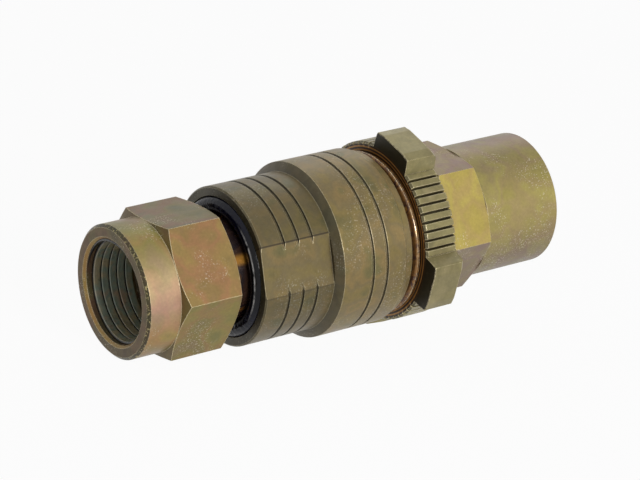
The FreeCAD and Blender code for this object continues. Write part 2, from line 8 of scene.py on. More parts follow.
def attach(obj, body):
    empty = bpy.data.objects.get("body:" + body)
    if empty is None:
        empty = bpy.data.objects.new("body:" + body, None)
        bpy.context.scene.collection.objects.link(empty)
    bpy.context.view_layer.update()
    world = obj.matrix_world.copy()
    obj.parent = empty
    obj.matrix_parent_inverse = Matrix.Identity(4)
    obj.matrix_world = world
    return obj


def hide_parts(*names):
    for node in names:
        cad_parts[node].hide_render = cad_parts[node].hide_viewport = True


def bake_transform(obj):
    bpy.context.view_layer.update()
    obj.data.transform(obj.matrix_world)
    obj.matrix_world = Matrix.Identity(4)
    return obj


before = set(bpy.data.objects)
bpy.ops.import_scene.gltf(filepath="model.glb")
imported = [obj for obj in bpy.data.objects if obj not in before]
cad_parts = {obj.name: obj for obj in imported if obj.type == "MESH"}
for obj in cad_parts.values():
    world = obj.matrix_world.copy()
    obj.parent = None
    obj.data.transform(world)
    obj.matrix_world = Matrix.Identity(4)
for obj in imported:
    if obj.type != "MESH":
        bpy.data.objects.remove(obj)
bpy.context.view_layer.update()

# The viewpoint. A long lens stands in front of the coupler, on the left port's side and a
# little above it, and the whole coupler lies across the picture.
view_right = Vector((0.817, -0.5775, 0.0)).normalized()
view_up = Vector((0.194, 0.274, 0.942)).normalized()
view_back = view_right.cross(view_up)
viewpoint = (-0.2448, -0.4155, 0.1820)
lens = bpy.data.cameras.new("long_lens")
lens.sensor_width = 36.0
lens.lens = 150.56
camera = bpy.data.objects.new("camera", lens)
bpy.context.scene.collection.objects.link(camera)
camera.matrix_world = Matrix.Translation(viewpoint) @ Matrix(
    (view_right, view_up, view_back)).transposed().to_4x4()
bpy.context.scene.camera = camera
bpy.context.scene.view_settings.view_transform = "Standard"


# The table and the studio. A plain white sheet leans a little, because the coupler rests on
# one lobe of its lock ring and on the rim of its thinner port end, and three soft lamps hang
# round it. The sheet keeps a weak shadow.
def put(tree, kind, sockets=None, **settings):
    """Adds a node, sets it up, and fills its sockets with values or with links from others."""
    node = tree.nodes.new(kind)
    for name, value in settings.items():
        setattr(node, name, value)
    for name, value in (sockets or {}).items():
        if isinstance(value, bpy.types.NodeSocket):
            tree.links.new(value, node.inputs[name])
        else:
            node.inputs[name].default_value = value
    return node


def shown_white(tree):
    """The share of a ray that sees plain white: what the lens, glossy metal and glass look at."""
    path = put(tree, "ShaderNodeLightPath")
    direct = put(tree, "ShaderNodeMath", {0: path.outputs["Is Camera Ray"],
                                          1: path.outputs["Is Glossy Ray"]}, operation="MAXIMUM")
    return put(tree, "ShaderNodeMath", {0: direct.outputs[0],
                                        1: path.outputs["Is Transmission Ray"]},
               operation="MAXIMUM").outputs[0]


studio = bpy.data.worlds.new("studio")
studio.use_nodes = True
studio.node_tree.nodes.clear()
room_light = put(studio.node_tree, "ShaderNodeBackground",
                 {"Color": (0.95, 0.97, 1.0, 1.0), "Strength": 0.22})
room_white = put(studio.node_tree, "ShaderNodeBackground",
                 {"Color": (1.0, 1.0, 1.0, 1.0), "Strength": 1.0})
room = put(studio.node_tree, "ShaderNodeMixShader",
           {0: shown_white(studio.node_tree), 1: room_light.outputs[0], 2: room_white.outputs[0]})
put(studio.node_tree, "ShaderNodeOutputWorld", {0: room.outputs[0]})
bpy.context.scene.world = studio

LOBE_FOOT = (0.0655, -0.02125)
PORT_FOOT = (0.0009, -0.0134)
SHEET_HALF = 2.0
SHEET_GAP = 0.0001
PAPER_GLOW = 0.95
sheet_slope = (LOBE_FOOT[1] - PORT_FOOT[1]) / (LOBE_FOOT[0] - PORT_FOOT[0])
sheet_mesh = bpy.data.meshes.new("table_sheet")
sheet_mesh.from_pydata(
    [(x, y, LOBE_FOOT[1] + sheet_slope * (x - LOBE_FOOT[0]) - SHEET_GAP)
     for x, y in ((-SHEET_HALF, -SHEET_HALF), (SHEET_HALF, -SHEET_HALF),
                  (SHEET_HALF, SHEET_HALF), (-SHEET_HALF, SHEET_HALF))],
    [], [(0, 1, 2, 3)])
sheet = bpy.data.objects.new("table_sheet", sheet_mesh)
bpy.context.scene.collection.objects.link(sheet)
sheet_white = bpy.data.materials.new("table_sheet_white")
sheet_white.use_nodes = True
paper = sheet_white.node_tree
paper.nodes.clear()
grain = put(paper, "ShaderNodeTexNoise",
            {"Vector": put(paper, "ShaderNodeTexCoord").outputs["Object"], "Scale": 900.0})
paper_tone = put(paper, "ShaderNodeMixRGB", {0: grain.outputs["Fac"],
                                             1: (0.86, 0.86, 0.86, 1.0),
                                             2: (0.90, 0.90, 0.90, 1.0)})
paper_lit = put(paper, "ShaderNodeBsdfDiffuse", {"Color": paper_tone.outputs[0]})
paper_glow = put(paper, "ShaderNodeEmission", {"Color": (1.0, 1.0, 1.0, 1.0), "Strength": 1.0})
paper_share = put(paper, "ShaderNodeMath", {0: shown_white(paper), 1: PAPER_GLOW},
                  operation="MULTIPLY")
paper_mix = put(paper, "ShaderNodeMixShader",
                {0: paper_share.outputs[0], 1: paper_lit.outputs[0], 2: paper_glow.outputs[0]})
put(paper, "ShaderNodeOutputMaterial", {0: paper_mix.outputs[0]})
sheet_mesh.materials.append(sheet_white)


COUPLER_MIDDLE = Vector((0.05, 0.0, 0.0))


def soft_lamp(name, place, size, power):
    """A square soft lamp that faces the middle of the coupler."""
    lamp = bpy.data.lights.new(name, "AREA")
    lamp.shape = "SQUARE"
    lamp.size = size
    lamp.energy = power
    stand = bpy.data.objects.new(name, lamp)
    bpy.context.scene.collection.objects.link(stand)
    aim = COUPLER_MIDDLE - Vector(place)
    turned = aim.to_track_quat("-Z", "Y").to_matrix().to_4x4()
    stand.matrix_world = Matrix.Translation(place) @ turned


soft_lamp("overhead_softbox", (0.05, -0.10, 0.70), 0.35, 0.12)
soft_lamp("front_softbox", (0.02, -0.72, 0.20), 0.25, 3.5)
soft_lamp("far_softbox", (0.55, 0.45, 0.45), 0.35, 0.4)


# Female port adapter: steel bar turned and milled to a 27 mm hexagon, with a short round end
# and an internal pipe thread. Its zinc plating has a yellow chromate film, tan to olive, which
# is worn bright along the edges, where the bright edges also stand in for painted glints, and
# it carries painted light and shade by direction. It screws onto the female valve body.
def tone(red, green, blue):
    """A colour read as screen values, in the renderer's linear values."""
    return tuple(c / 12.92 if c <= 0.04045 else ((c + 0.055) / 1.055) ** 2.4
                 for c in (red / 255.0, green / 255.0, blue / 255.0)) + (1.0,)


def calc(tree, operation, *terms, **settings):
    """One step of arithmetic between node outputs and numbers."""
    return put(tree, "ShaderNodeMath", dict(enumerate(terms)), operation=operation,
               **settings).outputs[0]


def band(tree, value, low, high):
    """Rises smoothly from 0 at low to 1 at high."""
    return put(tree, "ShaderNodeMapRange",
               {"Value": value, "From Min": low, "From Max": high},
               interpolation_type="SMOOTHSTEP").outputs[0]


def tinted(tree, share, under, over, mode="MIX"):
    """One colour laid over another by a share from 0 to 1."""
    return put(tree, "ShaderNodeMixRGB", {0: share, 1: under, 2: over}, blend_type=mode).outputs[0]


def noise(tree, place, scale, detail, **more):
    """Soft random values from 0 to 1, finer with a higher scale."""
    return put(tree, "ShaderNodeTexNoise",
               {"Vector": place, "Scale": scale, "Detail": detail, **more}).outputs["Fac"]


def chromate_film(name, tones, patch, wear_and_glint=0.6, rings=0.0, dull=0.42, seed=0.0, face=None,
                  left_shade_share=0.8, corner_shade_share=0.85, pale=0.0, shade_tone_share=0.0, shine=0.40):
    """Zinc plating under a chromate film: patches of the tones, fine specks, turning marks
    round the axis, painted shade in the corners and on faces that look left, and bright edges
    that are partly worn, partly painted glints."""
    first_stop, stops_span = 0.30, 0.40
    speck_scale, mottle_scale, chalk_area_scale, chalk_dot_scale = 1900.0, 420.0, 110.0, 3200.0
    speck_share, mottle_share, least_light = 0.34, 0.26, 0.70
    edge_radius, edge_turn, edge_speckle = 0.00022, (0.08, 0.15), 0.12
    corner_reach, corner_shade = 0.0011, (0.30, 0.88)
    lathe_marks, relief_height = (3600.0, 2.0, 2.0), 0.00006
    film = bpy.data.materials.new(name)
    film.use_nodes = True
    tree = film.node_tree
    tree.nodes.clear()
    coords = put(tree, "ShaderNodeTexCoord")
    place = coords.outputs["Object"]
    moved = put(tree, "ShaderNodeMapping",
                {"Vector": place, "Location": (seed, seed / 2, 0.0)}).outputs[0]
    clouds = noise(tree, moved, 1.0 / patch, 2.5, Roughness=0.5, Distortion=0.25)
    ramp = put(tree, "ShaderNodeValToRGB", {0: clouds})
    stops = ramp.color_ramp.elements
    spread = [first_stop + stops_span * k / (len(tones) - 1) for k in range(len(tones))]
    stops[0].position, stops[0].color = spread[0], tones[0]
    stops[1].position, stops[1].color = spread[-1], tones[-1]
    for where, colour in zip(spread[1:-1], tones[1:-1]):
        stops.new(where).color = colour
    colour = ramp.outputs[0]
    # The piece's own tones hold painted light and shade by direction.
    if shade_tone_share:
        own = put(tree, "ShaderNodeAttribute", attribute_name="film_tone").outputs["Color"]
        colour = tinted(tree, shade_tone_share, colour, own)

    specks = noise(tree, moved, speck_scale, 2.0)
    mottle = noise(tree, moved, mottle_scale, 3.0)
    light = calc(tree, "ADD", calc(tree, "MULTIPLY", specks, speck_share),
                 calc(tree, "MULTIPLY", mottle, mottle_share))
    light = calc(tree, "ADD", light, least_light)
    grey = put(tree, "ShaderNodeCombineColor", {0: light, 1: light, 2: light}).outputs[0]
    colour = tinted(tree, 1.0, colour, grey, "MULTIPLY")
    # Painted shade: faces that look left, towards -X, take the darker face tone.
    if face:
        across = put(tree, "ShaderNodeSeparateXYZ", {0: coords.outputs["Normal"]}).outputs[0]
        facing = band(tree, calc(tree, "MULTIPLY", across, -1.0), 0.45, 0.9)
        shade = tinted(tree, band(tree, mottle, 0.42, 0.62), face,
                       tuple(0.6 * c for c in face[:3]) + (1.0,))
        colour = tinted(tree, calc(tree, "MULTIPLY", facing, left_shade_share), colour, shade)
    areas = noise(tree, moved, chalk_area_scale, 2.0)
    dots = noise(tree, moved, chalk_dot_scale, 1.0)
    chalk = calc(tree, "MULTIPLY", band(tree, dots, 0.60, 0.70), band(tree, areas, 0.48, 0.60))
    colour = tinted(tree, calc(tree, "MULTIPLY", chalk, pale), colour, tone(222, 214, 196))

    # Bright edges: worn plating, and also painted glints.
    rounded = put(tree, "ShaderNodeBevel", {"Radius": edge_radius}, samples=6).outputs[0]
    flat = put(tree, "ShaderNodeNewGeometry").outputs["True Normal"]
    turn = put(tree, "ShaderNodeVectorMath", {0: rounded, 1: flat},
               operation="DOT_PRODUCT").outputs["Value"]
    edge = calc(tree, "ADD", calc(tree, "SUBTRACT", 1.0, turn),
                calc(tree, "MULTIPLY", specks, edge_speckle))
    edge = band(tree, edge, *edge_turn)
    # Painted shade: ambient occlusion darkens the corners and hollows.
    open_air = put(tree, "ShaderNodeAmbientOcclusion", {"Distance": corner_reach}, samples=8,
                   only_local=True).outputs["AO"]
    painted_corner_shade = calc(tree, "SUBTRACT", 1.0, band(tree, open_air, *corner_shade))
    edge = calc(tree, "MULTIPLY", edge, calc(tree, "SUBTRACT", 1.0, painted_corner_shade))
    colour = tinted(tree, calc(tree, "MULTIPLY", edge, wear_and_glint), colour, tone(236, 220, 178))
    colour = tinted(tree, calc(tree, "MULTIPLY", painted_corner_shade, corner_shade_share), colour, tone(36, 28, 18))

    rough = calc(tree, "ADD", calc(tree, "MULTIPLY", mottle, 0.22), dull - 0.11)
    rough = calc(tree, "SUBTRACT", rough, calc(tree, "MULTIPLY", edge, 0.10))
    along = put(tree, "ShaderNodeMapping", {"Vector": place, "Scale": lathe_marks}).outputs[0]
    height = calc(tree, "ADD", calc(tree, "MULTIPLY", noise(tree, along, 1.0, 2.0), rings),
                  calc(tree, "MULTIPLY", mottle, 0.5))
    height = calc(tree, "ADD", height, calc(tree, "MULTIPLY", specks, 0.45))
    relief = put(tree, "ShaderNodeBump",
                 {"Strength": 0.35, "Distance": relief_height, "Height": height,
                  "Normal": rounded})
    metal = put(tree, "ShaderNodeBsdfPrincipled",
                {"Base Color": colour, "Roughness": rough, "Normal": relief.outputs[0],
                 "Metallic": shine})
    put(tree, "ShaderNodeOutputMaterial", {0: metal.outputs[0]})
    return film


def own_colour(film):
    """The colour that a finish has so far."""
    return film.node_tree.nodes["Principled BSDF"].inputs["Base Color"].links[0].from_socket


def lay_over(film, share, over):
    """Lays one more colour over a finish by a share from 0 to 1."""
    tree = film.node_tree
    tree.links.new(tinted(tree, share, own_colour(film), over),
                   tree.nodes["Principled BSDF"].inputs["Base Color"])


def axis_place(tree):
    """Where a point of the piece lies: along the X axis, out from it, and turned round it from
    straight up towards the front."""
    x, y, z = put(tree, "ShaderNodeSeparateXYZ",
                  {0: put(tree, "ShaderNodeTexCoord").outputs["Object"]}).outputs
    out = calc(tree, "SQRT", calc(tree, "ADD", calc(tree, "MULTIPLY", y, y),
                                  calc(tree, "MULTIPLY", z, z)))
    return x, out, calc(tree, "ARCTAN2", calc(tree, "MULTIPLY", y, -1.0), z)


def near(tree, value, middle, full, none):
    """1 as far as full from the middle, and down to 0 at none."""
    off = calc(tree, "ABSOLUTE", calc(tree, "SUBTRACT", value, middle))
    return calc(tree, "SUBTRACT", 1.0, band(tree, off, full, none))


def finish_nodes(film, *names):
    """Gives a finish to CAD nodes."""
    for name in names:
        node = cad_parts[name]
        if not node.material_slots:
            node.data.materials.append(film)
        for holder in node.material_slots:
            holder.material = film


def piece_from(name, mesh, body):
    """Closes a mesh's seams, turns its faces outwards and keeps it as a piece on a body, or as
    a loose piece where the body is None."""
    same_place, no_length = 2e-7, 1e-7
    work = bmesh.new()
    work.from_mesh(mesh)
    bmesh.ops.remove_doubles(work, verts=work.verts, dist=same_place)
    bmesh.ops.dissolve_degenerate(work, edges=work.edges, dist=no_length)
    bmesh.ops.recalc_face_normals(work, faces=work.faces)
    work.to_mesh(mesh)
    work.free()
    mesh.name = name
    piece = bpy.data.objects.new(name, mesh)
    bpy.context.scene.collection.objects.link(piece)
    if body:
        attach(piece, body)
    return piece


HEX_APOTHEM = 0.0135
HEX_BEVEL_LEAN = math.tan(math.radians(23.0))
HEX_FACE_RADIUS = 0.01355
PORT_RADIUS = 0.0104775
PORT_MOUTH = 0.00052
PASSAGE_RADIUS = 0.0082
TAIL_RADIUS = 0.011
SEAL_GROOVE_RADIUS = 0.0124
SEAL_GROOVE_HALF = 0.00075


def flat_distance(turn, flat_turn):
    """Distance from the axis to the hexagon's flat in this direction."""
    off = math.radians((turn - flat_turn + 30.0) % 60.0 - 30.0)
    return HEX_APOTHEM / math.cos(off)


def wheel_shade(wheel, turn):
    """The painted light and shade at this direction, from tones spread evenly round the axis."""
    spot = turn % 360.0 / 360.0 * len(wheel)
    low = int(spot)
    return tuple(a + (b - a) * (spot - low)
                 for a, b in zip(wheel[low % len(wheel)], wheel[(low + 1) % len(wheel)]))


def hexagon_end(name, section, flat_turn, tones, flats, wheel, body, node):
    """A turned bar with hexagon flats: one closed outline for each direction round the axis.
    The tones colour the outline's stretches, the flats' own tones the six flats, and the
    wheel the round end. The flats' tones and the wheel are painted light and shade by direction."""
    directions = 360
    first_turn = flat_turn + 30.0
    corners, faces, shades = [], [], []
    for step in range(directions):
        turn = math.radians(first_turn + step)
        for x, radius in section(flat_distance(first_turn + step, flat_turn)):
            corners.append((x, -radius * math.sin(turn), radius * math.cos(turn)))
    count = len(corners) // directions
    for step in range(directions):
        here, beyond = step * count, (step + 1) % directions * count
        flat = int(((step + 60.5) % 360.0) // 60.0)
        for part in range(count):
            after = (part + 1) % count
            faces.append((here + part, here + after, beyond + after, beyond + part))
            stretch = tones[part]
            if stretch == "flat":
                stretch = flats[flat]
            elif stretch == "round":
                stretch = wheel_shade(wheel, first_turn + 0.5 + step)
            shades.append(stretch)
    mesh = bpy.data.meshes.new(name)
    mesh.from_pydata(corners, [], faces)
    film_tone = mesh.color_attributes.new("film_tone", "FLOAT_COLOR", "CORNER")
    for polygon, shade in zip(mesh.polygons, shades):
        for loop in polygon.loop_indices:
            film_tone.data[loop].color = shade
    piece = piece_from(name, mesh, body)
    mesh.shade_smooth()
    mesh.set_sharp_from_angle(angle=math.radians(18.0))
    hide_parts(node)
    return piece


def tail_recess(face, direction, stop):
    """The threaded tail recess with its seal groove, from the hexagon's face inwards."""
    middle = face + direction * 0.0028
    near, far = middle - direction * SEAL_GROOVE_HALF, middle + direction * SEAL_GROOVE_HALF
    return [(face, TAIL_RADIUS), (near, TAIL_RADIUS), (near, SEAL_GROOVE_RADIUS),
            (far, SEAL_GROOVE_RADIUS), (far, TAIL_RADIUS), (stop, TAIL_RADIUS),
            (stop, PASSAGE_RADIUS)]


FEMALE_BARREL_RADIUS = 0.0134
FEMALE_BARREL_END = 0.00735
FEMALE_ADAPTER_END = 0.0206
FEMALE_PORT_DEPTH = 0.0115
FEMALE_STOP = 0.013
FEMALE_RIM_BEVEL = 0.0006


def female_section(flat):
    barrel = FEMALE_BARREL_RADIUS
    bevel_end = FEMALE_BARREL_END + (flat - barrel) * HEX_BEVEL_LEAN
    rear = max(0.0, flat - HEX_FACE_RADIUS) * HEX_BEVEL_LEAN
    return [(0.0, PORT_RADIUS + PORT_MOUTH), (0.0, barrel - FEMALE_RIM_BEVEL),
            (FEMALE_RIM_BEVEL, barrel), (FEMALE_BARREL_END, barrel), (bevel_end, flat),
            (FEMALE_ADAPTER_END - rear, flat),
            (FEMALE_ADAPTER_END, min(flat, HEX_FACE_RADIUS))] + tail_recess(
                FEMALE_ADAPTER_END, -1, FEMALE_STOP) + [
            (FEMALE_PORT_DEPTH, PASSAGE_RADIUS), (FEMALE_PORT_DEPTH, PORT_RADIUS),
            (PORT_MOUTH, PORT_RADIUS)]


shaded_rim_tone = tone(66, 50, 38)
bore_tone = tone(80, 76, 62)
adapter_tones = (tone(112, 116, 56), tone(164, 146, 70), tone(176, 118, 84), tone(136, 122, 62),
                 tone(138, 104, 96))
# Faces that look left take the face tone as painted shade.
female_film = chromate_film("female_adapter_chromate", adapter_tones, patch=0.008, wear_and_glint=0.95,
                            rings=0.4, pale=0.55, shade_tone_share=0.72, face=tone(98, 82, 40), seed=0.2,
                            left_shade_share=0.55)
rim_tree = female_film.node_tree
along, out, _ = axis_place(rim_tree)
# Painted glints: bright specks among dark ones on the rim's outer bevel.
rim_glint_noise = noise(rim_tree, put(rim_tree, "ShaderNodeTexCoord").outputs["Object"], 2400.0, 3.0)
glinting_rim_specks = tinted(rim_tree, band(rim_tree, rim_glint_noise, 0.52, 0.74), tone(50, 48, 32),
                 tone(206, 190, 132))
on_rim_edge = calc(rim_tree, "MULTIPLY", calc(rim_tree, "LESS_THAN", along, FEMALE_RIM_BEVEL),
                   band(rim_tree, out, 0.01275, 0.0129))
lay_over(female_film, calc(rim_tree, "MULTIPLY", on_rim_edge, 0.7), glinting_rim_specks)
# The rim face and left chamfer tones are painted shade; the mouth's gold is a painted reflection.
female_adapter = hexagon_end(
    "female_port_adapter", female_section, 0.0,
    [shaded_rim_tone, tone(38, 40, 28), "round", tone(96, 82, 40), "flat", tone(120, 100, 70),
     bore_tone] + [bore_tone] * 7 + [bore_tone, bore_tone, tone(176, 140, 76)],
    # The flat tones and the round tones are painted light and shade by direction.
    [tone(83, 74, 48), tone(134, 104, 62), tone(116, 104, 46), tone(130, 112, 70),
     tone(124, 110, 72), tone(122, 110, 76)],
    [tone(120, 112, 80), tone(140, 130, 66), tone(178, 156, 114), tone(182, 148, 128),
     tone(150, 124, 64), tone(110, 100, 62), tone(120, 106, 72), tone(140, 118, 76),
     tone(136, 120, 70), tone(150, 120, 84), tone(136, 124, 72), tone(128, 116, 80)],
    "female_half", "female_adapter")
female_adapter.data.materials.append(female_film)


# Internal pipe thread of the female port, 1.814 mm pitch. It is cut from the mouth to a run-out
# short of the seat. Its crests are bare steel under oil, and painted shade blackens the gaps
# between and the flanks that look left.
def opened_tree(name, inputs):
    """Starts a node tree with these named inputs and returns it with their sockets."""
    tree = bpy.data.node_groups.new(name, "GeometryNodeTree")
    for label, value in inputs:
        kind = "NodeSocketInt" if isinstance(value, int) else "NodeSocketFloat"
        socket = tree.interface.new_socket(name=label, in_out="INPUT", socket_type=kind)
        socket.default_value = value
    tree.interface.new_socket(name="Finish", in_out="INPUT", socket_type="NodeSocketMaterial")
    tree.interface.new_socket(name="Shape", in_out="OUTPUT", socket_type="NodeSocketGeometry")
    return tree, put(tree, "NodeGroupInput").outputs


def closed_tree(tree, shape, given):
    """Ends a node tree: real geometry, smooth, in its finish."""
    smooth = put(tree, "GeometryNodeSetShadeSmooth", {"Geometry": shape})
    real = put(tree, "GeometryNodeRealizeInstances", {0: smooth.outputs[0]})
    coated = put(tree, "GeometryNodeSetMaterial",
                 {"Geometry": real.outputs[0], "Material": given["Finish"]})
    put(tree, "NodeGroupOutput", {0: coated.outputs[0]})
    return tree


def turned_place(tree, x, radius, angle):
    """A place at this angle and radius round the X axis."""
    return put(tree, "ShaderNodeCombineXYZ",
               {0: x, 1: calc(tree, "MULTIPLY", radius, calc(tree, "COSINE", angle)),
                2: calc(tree, "MULTIPLY", radius, calc(tree, "SINE", angle))}).outputs[0]


def thread_tree():
    """A ridge wound round the X axis with a right-hand lead, drawn to a point at both ends."""
    tree, given = opened_tree("thread_ridge", (
        ("Start", 0.0), ("Pitch", 0.002), ("Turns", 5.0), ("Root Radius", 0.01),
        ("Height", 0.001), ("Base Width", 0.0018), ("Crest Share", 0.2), ("Steps Along", 500),
        ("Fade Turns", 0.4)))
    crest_steps = 10
    loop_steps = crest_steps + 3
    sunk_share = 1.25
    grid = put(tree, "GeometryNodeMeshGrid",
               {"Vertices X": given["Steps Along"], "Vertices Y": loop_steps})
    index = put(tree, "GeometryNodeInputIndex").outputs[0]
    step = calc(tree, "FLOOR", calc(tree, "DIVIDE", calc(tree, "ADD", index, 0.5),
                                    float(loop_steps)))
    place = calc(tree, "SUBTRACT", index, calc(tree, "MULTIPLY", step, float(loop_steps)))
    on_crest = calc(tree, "LESS_THAN", place, crest_steps + 0.5)
    under = calc(tree, "COMPARE", place, crest_steps + 1.0, 0.1)
    across = calc(tree, "MULTIPLY", calc(tree, "DIVIDE", place, float(crest_steps)), on_crest)
    across = calc(tree, "ADD", across, calc(tree, "MULTIPLY", under, 0.5))
    last = calc(tree, "SUBTRACT", given["Steps Along"], 1.0)
    turned = calc(tree, "MULTIPLY", calc(tree, "DIVIDE", step, last), given["Turns"])
    from_middle = calc(tree, "ABSOLUTE", calc(tree, "SUBTRACT", across, 0.5))
    rise = put(tree, "ShaderNodeMapRange",
               {"Value": from_middle, "From Min": 0.5,
                "From Max": calc(tree, "MULTIPLY", given["Crest Share"], 0.5)},
               interpolation_type="SMOOTHSTEP").outputs[0]
    rise = calc(tree, "SUBTRACT", rise, calc(tree, "MULTIPLY", under, sunk_share))
    end = calc(tree, "MINIMUM", turned, calc(tree, "SUBTRACT", given["Turns"], turned))
    fade = put(tree, "ShaderNodeMapRange",
               {"Value": end, "From Min": 0.0, "From Max": given["Fade Turns"]},
               interpolation_type="SMOOTHSTEP").outputs[0]
    radius = calc(tree, "ADD", given["Root Radius"],
                  calc(tree, "MULTIPLY", calc(tree, "MULTIPLY", rise, fade), given["Height"]))
    x = calc(tree, "ADD", given["Start"], calc(tree, "MULTIPLY", turned, given["Pitch"]))
    x = calc(tree, "ADD", x, calc(tree, "MULTIPLY", calc(
        tree, "MULTIPLY", calc(tree, "SUBTRACT", across, 0.5), given["Base Width"]), fade))
    spot = turned_place(tree, x, radius, calc(tree, "MULTIPLY", turned, 2.0 * math.pi))
    wound = put(tree, "GeometryNodeSetPosition",
                {"Geometry": grid.outputs["Mesh"], "Position": spot})
    return closed_tree(tree, wound.outputs[0], given)


def grown(name, tree, body, slot, **values):
    """Runs a node tree with these inputs and keeps its result as a plain piece on a body."""
    seed_mesh = bpy.data.meshes.new(name + "_seed")
    grower = bpy.data.objects.new(name + "_grower", seed_mesh)
    bpy.context.scene.collection.objects.link(grower)
    step = grower.modifiers.new("grow", "NODES")
    step.node_group = tree
    for item in tree.interface.items_tree:
        key = item.name.lower().replace(" ", "_")
        if item.in_out == "INPUT" and key in values:
            step[item.identifier] = values[key]
    bpy.context.view_layer.update()
    ready = grower.evaluated_get(bpy.context.evaluated_depsgraph_get())
    mesh = bpy.data.meshes.new_from_object(ready)
    bpy.data.objects.remove(grower)
    return piece_from(name, mesh, body)


# Flanks that look left take the face tone as painted shade.
oiled_thread = chromate_film(
    "oiled_port_thread",
    (tone(178, 172, 152), tone(190, 176, 140), tone(158, 172, 156), tone(192, 170, 142)),
    patch=0.004, wear_and_glint=0.0, rings=1.5, dull=0.30, seed=0.3, face=tone(14, 12, 10),
    left_shade_share=0.6, corner_shade_share=0.12, shine=0.15)
crest_tree = oiled_thread.node_tree
_, out, _ = axis_place(crest_tree)
PORT_CREST_END = 0.00993
PORT_GAP_START = 0.01005
# Painted shade: the gaps below the crests are blackened.
lay_over(oiled_thread, band(crest_tree, out, PORT_CREST_END, PORT_GAP_START), tone(22, 18, 14))
PORT_THREAD = {"pitch": 0.001814, "root_radius": 0.01050, "height": -0.0006,
               "base_width": 0.00181, "crest_share": 0.86, "fade_turns": 0.25,
               "finish": oiled_thread}
ridge_tree = thread_tree()
grown("female_port_thread", ridge_tree, "female_half", "adapter_plating", start=0.0008,
      turns=5.6, steps_along=601, **PORT_THREAD)


# Female valve body: the turned steel tube between the port adapter and the male half. Only its
# neck shows, in dark tones; golden patches and one golden strip are painted reflections of the
# hexagon.
# The golden tone among the patches is a painted reflection of the hexagon.
neck_film = chromate_film(
    "neck_chromate", (tone(40, 28, 30), tone(64, 44, 34), tone(34, 26, 30), tone(140, 92, 34)),
    patch=0.006, wear_and_glint=0.4, rings=0.5, dull=0.26, seed=0.7)
neck_tree = neck_film.node_tree
_, _, turned = axis_place(neck_tree)
GOLD_REFLECTION_TURN = math.radians(64.0)
# Painted reflection: a golden strip where the hexagon shows in the neck.
lay_over(neck_film, near(neck_tree, turned, GOLD_REFLECTION_TURN, 0.02, 0.14), tone(176, 124, 48))
finish_nodes(neck_film, "female_valve_body")


# Wiper ring: a round rubber cord in the sleeve's mouth that keeps dirt out of the ball race.
# It is wet with oil. A painted highlight runs in a broken streak along its front, and a painted
# dark-blue reflection tints the rest.
def rubber(name, shade, wet):
    """Rubber or soft plastic with a fine grain; a wet one has small drops and streaks of oil."""
    skin = bpy.data.materials.new(name)
    skin.use_nodes = True
    tree = skin.node_tree
    tree.nodes.clear()
    place = put(tree, "ShaderNodeTexCoord").outputs["Object"]
    bloom = noise(tree, place, 300.0, 3.0)
    grain = noise(tree, place, 2200.0, 2.0)
    oil = noise(tree, place, 900.0, 1.0)
    film = band(tree, oil, 0.50 - 0.15 * wet, 0.60 - 0.1 * wet)
    dusty = tuple(1.8 * c for c in shade[:3]) + (1.0,)
    colour = tinted(tree, band(tree, bloom, 0.45, 0.75), shade, dusty)
    rough = put(tree, "ShaderNodeMapRange",
                {"Value": film, "To Min": 0.50 - 0.15 * wet,
                 "To Max": 0.50 - 0.41 * wet}).outputs[0]
    height = calc(tree, "ADD", calc(tree, "MULTIPLY", grain, 0.4),
                  calc(tree, "MULTIPLY", oil, 1.6 * wet))
    relief = put(tree, "ShaderNodeBump",
                 {"Strength": 0.4, "Distance": 0.00015, "Height": height})
    coat = put(tree, "ShaderNodeBsdfPrincipled",
               {"Base Color": colour, "Roughness": rough, "Normal": relief.outputs[0],
                "Specular IOR Level": 0.2})
    put(tree, "ShaderNodeOutputMaterial", {0: coat.outputs[0]})
    return skin


def cord_ring_tree():
    """A round cord bent to a ring round the X axis."""
    tree, given = opened_tree("cord_ring", (
        ("Middle", 0.0), ("Ring Radius", 0.01), ("Cord Radius", 0.001), ("Steps Round", 96),
        ("Cord Sides", 24)))
    path = put(tree, "GeometryNodeCurvePrimitiveCircle",
               {"Resolution": given["Steps Round"], "Radius": given["Ring Radius"]})
    section = put(tree, "GeometryNodeCurvePrimitiveCircle",
                  {"Resolution": given["Cord Sides"], "Radius": given["Cord Radius"]})
    tube = put(tree, "GeometryNodeCurveToMesh",
               {"Curve": path.outputs[0], "Profile Curve": section.outputs[0]})
    middle = put(tree, "ShaderNodeCombineXYZ", {0: given["Middle"]})
    upright = put(tree, "GeometryNodeTransform",
                  {"Geometry": tube.outputs[0], "Translation": middle.outputs[0],
                   "Rotation": (0.0, math.pi / 2, 0.0)})
    return closed_tree(tree, upright.outputs[0], given)


wet_rubber = rubber("wet_wiper_rubber", tone(8, 8, 12), 1.0)
wet_tree = wet_rubber.node_tree
_, out, turned = axis_place(wet_tree)
GLINT_RADIUS = 0.0133
GLINT_MIDDLE = math.radians(80.0)
crown = near(wet_tree, out, GLINT_RADIUS, 0.00004, 0.00022)
front_arc = near(wet_tree, turned, GLINT_MIDDLE, 0.35, 0.85)
glint_breaks = noise(wet_tree, put(wet_tree, "ShaderNodeTexCoord").outputs["Object"], 700.0, 3.0)
painted_glint = calc(wet_tree, "MULTIPLY", calc(wet_tree, "MULTIPLY", crown, front_arc),
             band(wet_tree, glint_breaks, 0.28, 0.58))
# Painted reflection: dark blue away from the front.
lay_over(wet_rubber, calc(wet_tree, "SUBTRACT", 1.0, front_arc), tone(10, 12, 30))
